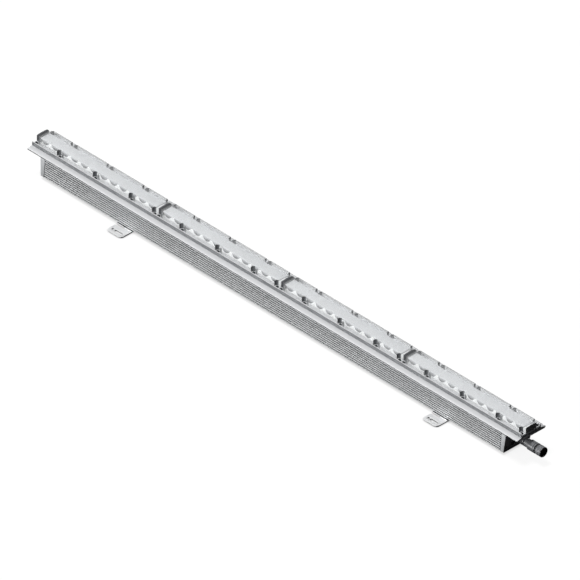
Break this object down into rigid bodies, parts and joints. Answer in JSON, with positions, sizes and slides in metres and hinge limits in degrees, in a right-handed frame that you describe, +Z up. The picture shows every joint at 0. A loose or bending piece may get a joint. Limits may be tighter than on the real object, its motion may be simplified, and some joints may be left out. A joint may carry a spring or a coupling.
{
  "type": "linear wall washer light",
  "caption": "Long outdoor wall washer light: clear domed lamp modules on a winged plate over a grooved driver housing, with folding hinged feet and a linking plug.",
  "frame": {"origin": "centre of the bounding box's bottom face, on the plane that the feet and bases stand on", "axes": "+X along the light towards its plug, +Y away from the feet, +Z up, the way the light shines"},
  "size_m": [1.2502, 0.0938, 0.0669],
  "materials": {
    "wing_aluminium": "anodised satin",
    "channel_aluminium": "anodised satin",
    "housing_aluminium": "anodised satin",
    "end_aluminium": "die-cast satin",
    "cover_polycarbonate": "clear gloss",
    "optic_acrylic": "clear gloss",
    "seal_rubber": "matte",
    "gasket_rubber": "matte",
    "lamp_board": "white solder mask",
    "chip_phosphor": "matte",
    "dark_screw_steel": "black oxide",
    "plain_screw_steel": "zinc plated",
    "driver_laminate": "solder mask",
    "standoff_brass": "plain",
    "component_plastic": "matte",
    "terminal_plastic": "matte",
    "lead_insulation": "matte",
    "relief_rubber": "matte",
    "connector_nylon": "matte moulded",
    "insert_nylon": "matte moulded",
    "contact_brass": "plated",
    "gland_nut_steel": "plated",
    "hinge_steel": "brushed",
    "foot_steel": "brushed"
  },
  "bodies": {
    "light": {"wing_plate": "wing_aluminium", "lamp_channel": "channel_aluminium", "driver_housing": "housing_aluminium", "end_plate_left": "end_aluminium", "end_plate_right": "end_aluminium", "module_cover_1": "cover_polycarbonate", "module_cover_2": "cover_polycarbonate", "module_cover_3": "cover_polycarbonate", "module_cover_4": "cover_polycarbonate", "optic_strip_1": "optic_acrylic", "optic_strip_2": "optic_acrylic", "optic_strip_3": "optic_acrylic", "optic_strip_4": "optic_acrylic", "joint_seal_1": "seal_rubber", "joint_seal_2": "seal_rubber", "joint_seal_3": "seal_rubber", "joint_seal_4": "seal_rubber", "cover_gasket_1": "gasket_rubber", "cover_gasket_2": "gasket_rubber", "cover_gasket_3": "gasket_rubber", "cover_gasket_4": "gasket_rubber", "end_gasket_left": "gasket_rubber", "end_gasket_right": "gasket_rubber", "gland_seals": "gasket_rubber", "lead_grommet": "gasket_rubber", "led_board_1": "lamp_board", "led_board_2": "lamp_board", "led_board_3": "lamp_board", "led_board_4": "lamp_board", "led_row_1": "chip_phosphor", "led_row_2": "chip_phosphor", "led_row_3": "chip_phosphor", "led_row_4": "chip_phosphor", "cover_screws": "dark_screw_steel", "end_screws": "dark_screw_steel", "joining_screws": "plain_screw_steel", "base_screws": "plain_screw_steel", "driver_board": "driver_laminate", "board_standoffs": "standoff_brass", "driver_parts": "component_plastic", "terminal_blocks": "terminal_plastic", "output_leads": "lead_insulation", "input_leads": "lead_insulation", "strain_relief": "relief_rubber", "plug_body": "connector_nylon", "receptacle_shell": "connector_nylon", "vent_plug": "connector_nylon", "plug_insulator": "insert_nylon", "receptacle_insert": "insert_nylon", "contact_pins": "contact_brass", "gland_nuts": "gland_nut_steel", "snap_ring": "gland_nut_steel", "hinge_base_left": "hinge_steel", "hinge_base_right": "hinge_steel", "hinge_pins": "hinge_steel"},
    "foot_left_body": {"foot_left": "foot_steel"},
    "foot_right_body": {"foot_right": "foot_steel"},
    "nut_body": {"coupling_nut": "connector_nylon"}
  },
  "joints": [
    {"name": "foot_left_hinge", "type": "hinge", "parent": "light", "child": "foot_left_body", "pos_m": [-0.3852, -0.0191, 0.0019], "axis": [1, 0, 0], "range_deg": [0, 120]},
    {"name": "foot_right_hinge", "type": "hinge", "parent": "light", "child": "foot_right_body", "pos_m": [0.4008, -0.0191, 0.0019], "axis": [1, 0, 0], "range_deg": [0, 120]},
    {"name": "nut_turn", "type": "hinge", "parent": "light", "child": "nut_body", "pos_m": [0.6155, 0.0124, 0.024], "axis": [1, 0, 0], "continuous": true}
  ]
}
